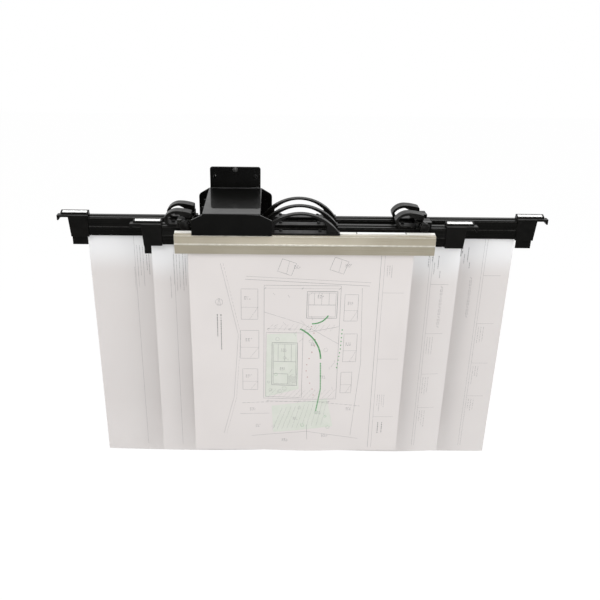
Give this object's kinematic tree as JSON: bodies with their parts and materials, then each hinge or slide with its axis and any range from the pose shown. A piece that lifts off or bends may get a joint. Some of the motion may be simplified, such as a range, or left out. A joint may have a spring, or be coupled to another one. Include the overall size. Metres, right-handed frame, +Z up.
{
  "type": "plan hanging rack",
  "caption": "Wall bracket that carries clamp binders for large drawings one behind the other, each with a carrying handle and the longer two with hanging loops.",
  "frame": {"origin": "on the wall, midway between the two wall screws", "axes": "+Z up, +X to the right for someone facing the rack, -Y away from the wall"},
  "size_m": [0.953, 0.166, 0.633],
  "materials": {
    "powder_black": "gloss powder coat",
    "anodised_black": "black anodised",
    "anodised_champagne": "champagne anodised",
    "black_plastic": "fine texture",
    "black_steel": "blackened steel",
    "zinc_steel": "zinc plated",
    "label_card": "plain card",
    "drawing_paper": "drawing paper"
  },
  "bodies": {
    "bracket": {"wall_plate": "powder_black", "hood": "powder_black", "left_support_rod": "zinc_steel", "right_support_rod": "zinc_steel"},
    "a0_carrier": {"a0_rear_jaw": "anodised_black", "a0_sheets": "drawing_paper", "a0_handle": "black_plastic", "a0_hanger": "black_steel", "a0_rail_screws": "black_steel", "a0_left_loop": "black_plastic", "a0_left_cap": "black_plastic", "a0_left_label": "label_card", "a0_right_loop": "black_plastic", "a0_right_cap": "black_plastic", "a0_right_label": "label_card"},
    "a0_front": {"a0_front_jaw": "anodised_black", "a0_left_lug": "powder_black", "a0_right_lug": "powder_black"},
    "a0_left_turn": {"a0_left_knob": "black_plastic", "a0_left_stud": "zinc_steel"},
    "a0_right_turn": {"a0_right_knob": "black_plastic", "a0_right_stud": "zinc_steel"},
    "a1_carrier": {"a1_rear_jaw": "anodised_black", "a1_sheets": "drawing_paper", "a1_handle": "black_plastic", "a1_hanger": "black_steel", "a1_rail_screws": "black_steel", "a1_left_loop": "black_plastic", "a1_left_cap": "black_plastic", "a1_left_label": "label_card", "a1_right_loop": "black_plastic", "a1_right_cap": "black_plastic", "a1_right_label": "label_card"},
    "a1_front": {"a1_front_jaw": "anodised_black", "a1_left_lug": "powder_black", "a1_right_lug": "powder_black"},
    "a1_left_turn": {"a1_left_knob": "black_plastic", "a1_left_stud": "zinc_steel"},
    "a1_right_turn": {"a1_right_knob": "black_plastic", "a1_right_stud": "zinc_steel"},
    "a2_carrier": {"a2_rear_jaw": "anodised_champagne", "a2_sheets": "drawing_paper", "a2_handle": "black_plastic", "a2_hanger": "black_steel", "a2_rail_screws": "black_steel"},
    "a2_front": {"a2_front_jaw": "anodised_champagne"}
  },
  "joints": [
    {"name": "a0_unhook", "type": "slide", "parent": "bracket", "child": "a0_carrier", "axis": [-1, 0, 0], "range_m": [0, 0.02]},
    {"name": "a0_jaw", "type": "hinge", "parent": "a0_carrier", "child": "a0_front", "pos_m": [0.134, -0.0605, -0.072], "axis": [-1, 0, 0], "range_deg": [0, 5]},
    {"name": "a0_left_knob_turn", "type": "hinge", "parent": "a0_carrier", "child": "a0_left_turn", "pos_m": [-0.0895, -0.06, -0.0595], "axis": [0, -1, 0], "range_deg": [0, 180]},
    {"name": "a0_right_knob_turn", "type": "hinge", "parent": "a0_carrier", "child": "a0_right_turn", "pos_m": [0.3575, -0.06, -0.0595], "axis": [0, -1, 0], "range_deg": [0, 180]},
    {"name": "a1_unhook", "type": "slide", "parent": "bracket", "child": "a1_carrier", "axis": [-1, 0, 0], "range_m": [0, 0.02]},
    {"name": "a1_jaw", "type": "hinge", "parent": "a1_carrier", "child": "a1_front", "pos_m": [0.134, -0.1075, -0.072], "axis": [-1, 0, 0], "range_deg": [0, 5]},
    {"name": "a1_left_knob_turn", "type": "hinge", "parent": "a1_carrier", "child": "a1_left_turn", "pos_m": [-0.0895, -0.107, -0.0595], "axis": [0, -1, 0], "range_deg": [0, 180]},
    {"name": "a1_right_knob_turn", "type": "hinge", "parent": "a1_carrier", "child": "a1_right_turn", "pos_m": [0.3575, -0.107, -0.0595], "axis": [0, -1, 0], "range_deg": [0, 180]},
    {"name": "a2_unhook", "type": "slide", "parent": "bracket", "child": "a2_carrier", "axis": [-1, 0, 0], "range_m": [0, 0.02]},
    {"name": "a2_jaw", "type": "hinge", "parent": "a2_carrier", "child": "a2_front", "pos_m": [0.134, -0.1545, -0.072], "axis": [-1, 0, 0], "range_deg": [0, 5]}
  ],
  "couplings": [
    {"joint": "a0_left_knob_turn", "follows": "a0_jaw", "ratio": 36},
    {"joint": "a0_right_knob_turn", "follows": "a0_jaw", "ratio": 36},
    {"joint": "a1_left_knob_turn", "follows": "a1_jaw", "ratio": 36},
    {"joint": "a1_right_knob_turn", "follows": "a1_jaw", "ratio": 36}
  ]
}
